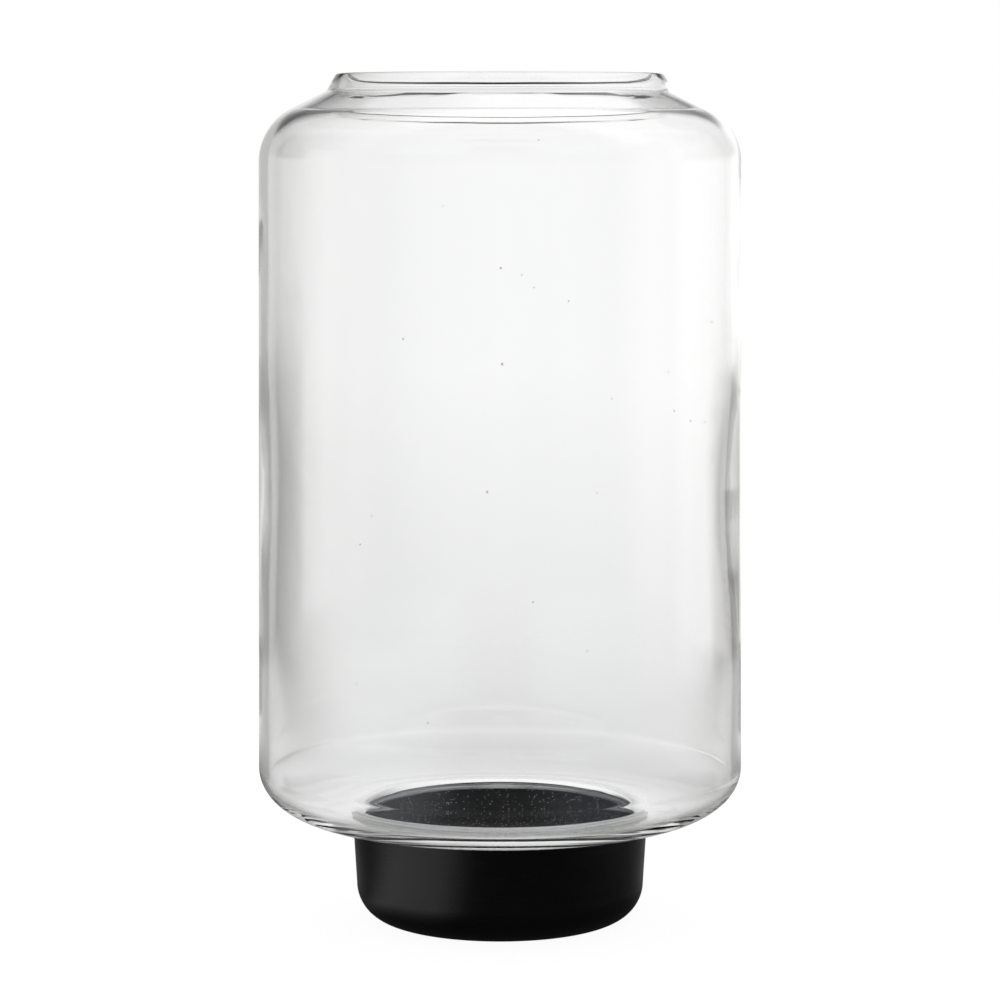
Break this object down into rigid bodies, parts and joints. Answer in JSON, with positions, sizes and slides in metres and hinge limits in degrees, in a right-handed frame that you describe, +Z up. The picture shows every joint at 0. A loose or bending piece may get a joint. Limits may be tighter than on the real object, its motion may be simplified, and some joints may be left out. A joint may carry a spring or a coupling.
{
  "type": "hurricane candle lantern",
  "caption": "Clear blown glass hurricane lantern with rounded heel and shoulder and a short cut neck, open below, standing round the low boss of a smaller satin black turned wooden base.",
  "frame": {"origin": "centre of the felt pad's underside, where the lantern stands on a table", "axes": "+Z up along the common axis of glass and base; X and Y are free, since every piece is round"},
  "size_m": [0.202, 0.202, 0.3539],
  "materials": {
    "clear_glass": "clear blown soda-lime glass, fire polished, rim cut and ground",
    "black_wood": "turned wood, satin black paint with a faint grain",
    "felt": "pressed black felt"
  },
  "bodies": {
    "base": {"base_body": "black_wood", "felt_pad": "felt"},
    "glass": {"glass_hurricane": "clear_glass"}
  },
  "joints": [
    {"name": "glass_lift", "type": "slide", "parent": "base", "child": "glass", "axis": [0, 0, 1], "range_m": [0, 0.06]}
  ]
}
